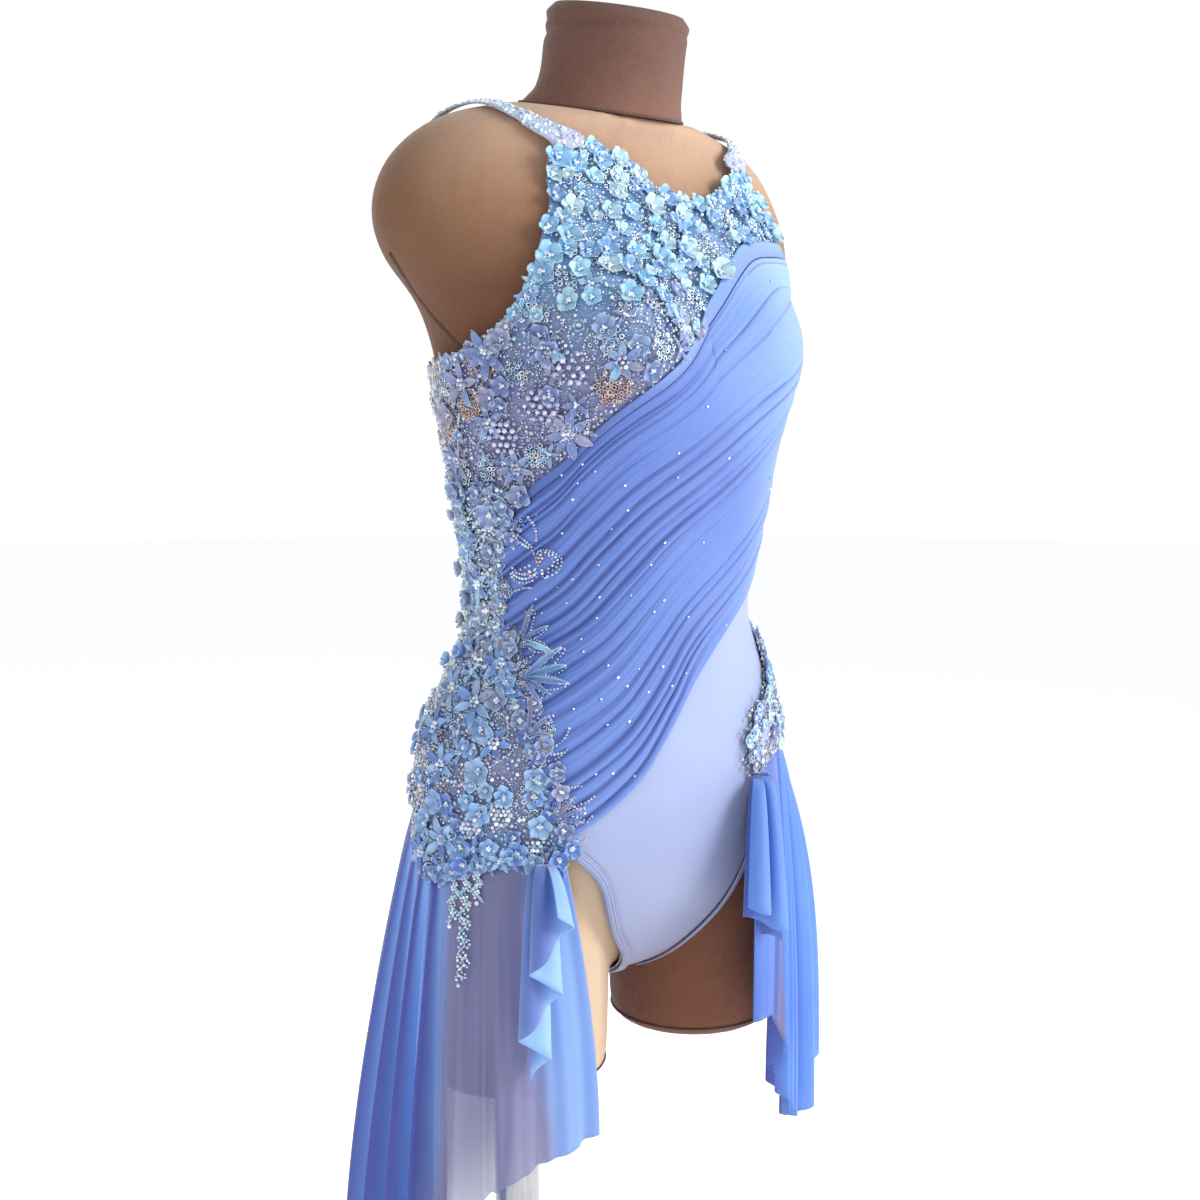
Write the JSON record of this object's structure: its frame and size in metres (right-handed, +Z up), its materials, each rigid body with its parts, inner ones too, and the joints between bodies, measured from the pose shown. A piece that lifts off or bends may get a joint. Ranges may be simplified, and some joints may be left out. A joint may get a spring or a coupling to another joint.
{
  "type": "lyrical dance dress on a limbless dress form",
  "caption": "Sleeveless leotard with a gathered diagonal sash, lace flowers and two loose half skirts, worn by a limbless dress form on a pole stand.",
  "frame": {"origin": "middle of the stand base's underside, under the form's own axis", "axes": "+Z up, -Y the way the dress faces, -X the wearer's right"},
  "size_m": [0.444, 0.444, 1.502],
  "materials": {
    "lace": "pale blue lace with beads and sequins",
    "lycra": "satin stretch cloth, pale lavender blue",
    "mesh_cloth": "fine sheer stretch mesh, periwinkle blue",
    "beading": "beaded strap, silver on pale blue",
    "form_cover": "matt woven cotton cover, tan",
    "neck_cover": "matt woven cotton cover, brown",
    "steel": "satin"
  },
  "bodies": {
    "root": {"bodice_front": "lace", "brief_front": "lycra", "back_panel": "lycra", "strap_right": "beading", "strap_left": "beading", "leg_binding_right": "lycra", "leg_binding_left": "lycra", "sash_band": "mesh_cloth", "sash_drape": "mesh_cloth", "lace_side_right": "lace", "lace_hip_left": "lace", "skirt_right": "mesh_cloth", "skirt_left": "mesh_cloth", "skirt_right_cascade": "mesh_cloth", "skirt_left_cascade": "mesh_cloth", "form_body": "form_cover", "form_neck": "neck_cover", "stand_pole": "steel", "stand_base": "steel"}
  },
  "joints": []
}
